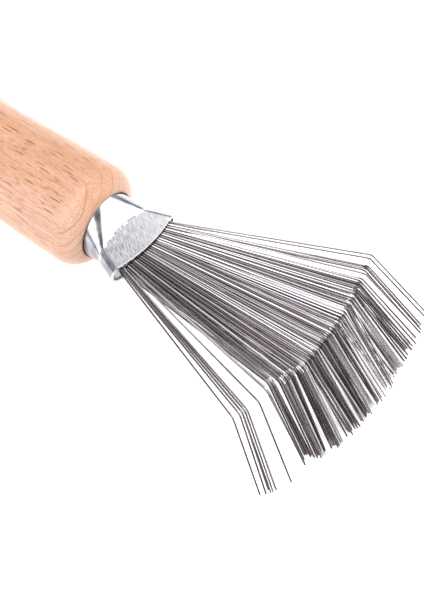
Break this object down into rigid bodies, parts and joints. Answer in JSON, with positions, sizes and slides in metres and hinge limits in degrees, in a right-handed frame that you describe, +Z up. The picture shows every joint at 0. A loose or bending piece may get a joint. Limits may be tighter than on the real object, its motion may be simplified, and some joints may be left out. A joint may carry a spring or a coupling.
{
  "type": "uncapping fork",
  "caption": "Uncapping fork: a fan of fine steel tines with down-bent tips, set in a flattened tube ferrule on a round beech handle.",
  "frame": {"origin": "middle of the flat at the handle's butt, on the tool's axis", "axes": "+X along the tool from the butt towards the tips, +Z up out of the fan's upper side, so the tips bend towards -Z"},
  "size_m": [0.1991, 0.0766, 0.0366],
  "materials": {
    "beech": "smooth turned beech, unvarnished, short darker flecks along the grain",
    "ferrule_steel": "bright zinc-plated tube, matte and finely scratched on the pressed flat",
    "filling": "dull pale grey set filling",
    "tine_steel": "bright drawn spring-steel wire"
  },
  "bodies": {
    "root": {"ferrule": "ferrule_steel", "handle": "beech", "layer_1_tines_01": "tine_steel", "layer_1_tines_02": "tine_steel", "layer_1_tines_03": "tine_steel", "layer_1_tines_04": "tine_steel", "layer_1_tines_05": "tine_steel", "layer_1_tines_06": "tine_steel", "layer_1_tines_07": "tine_steel", "layer_2_tines_01": "tine_steel", "layer_2_tines_02": "tine_steel", "layer_2_tines_03": "tine_steel", "layer_2_tines_04": "tine_steel", "layer_2_tines_05": "tine_steel", "layer_2_tines_06": "tine_steel", "layer_2_tines_07": "tine_steel", "layer_3_tines_01": "tine_steel", "layer_3_tines_02": "tine_steel", "layer_3_tines_03": "tine_steel", "layer_3_tines_04": "tine_steel", "layer_3_tines_05": "tine_steel", "layer_3_tines_06": "tine_steel", "layer_3_tines_07": "tine_steel", "layer_4_tines_01": "tine_steel", "layer_4_tines_02": "tine_steel", "layer_4_tines_03": "tine_steel", "layer_4_tines_04": "tine_steel", "layer_4_tines_05": "tine_steel", "layer_4_tines_06": "tine_steel", "layer_4_tines_07": "tine_steel", "layer_4_tines_08": "tine_steel", "layer_4_tines_09": "tine_steel", "layer_5_tines_01": "tine_steel", "layer_5_tines_02": "tine_steel", "layer_5_tines_03": "tine_steel", "layer_5_tines_04": "tine_steel", "layer_5_tines_05": "tine_steel", "layer_5_tines_06": "tine_steel", "layer_5_tines_07": "tine_steel", "layer_5_tines_08": "tine_steel", "layer_5_tines_09": "tine_steel", "layer_6_tines_01": "tine_steel", "layer_6_tines_02": "tine_steel", "layer_6_tines_03": "tine_steel", "layer_6_tines_04": "tine_steel", "layer_6_tines_05": "tine_steel", "layer_6_tines_06": "tine_steel", "layer_6_tines_07": "tine_steel", "layer_6_tines_08": "tine_steel", "layer_6_tines_09": "tine_steel", "mouth_filling": "filling"}
  },
  "joints": []
}
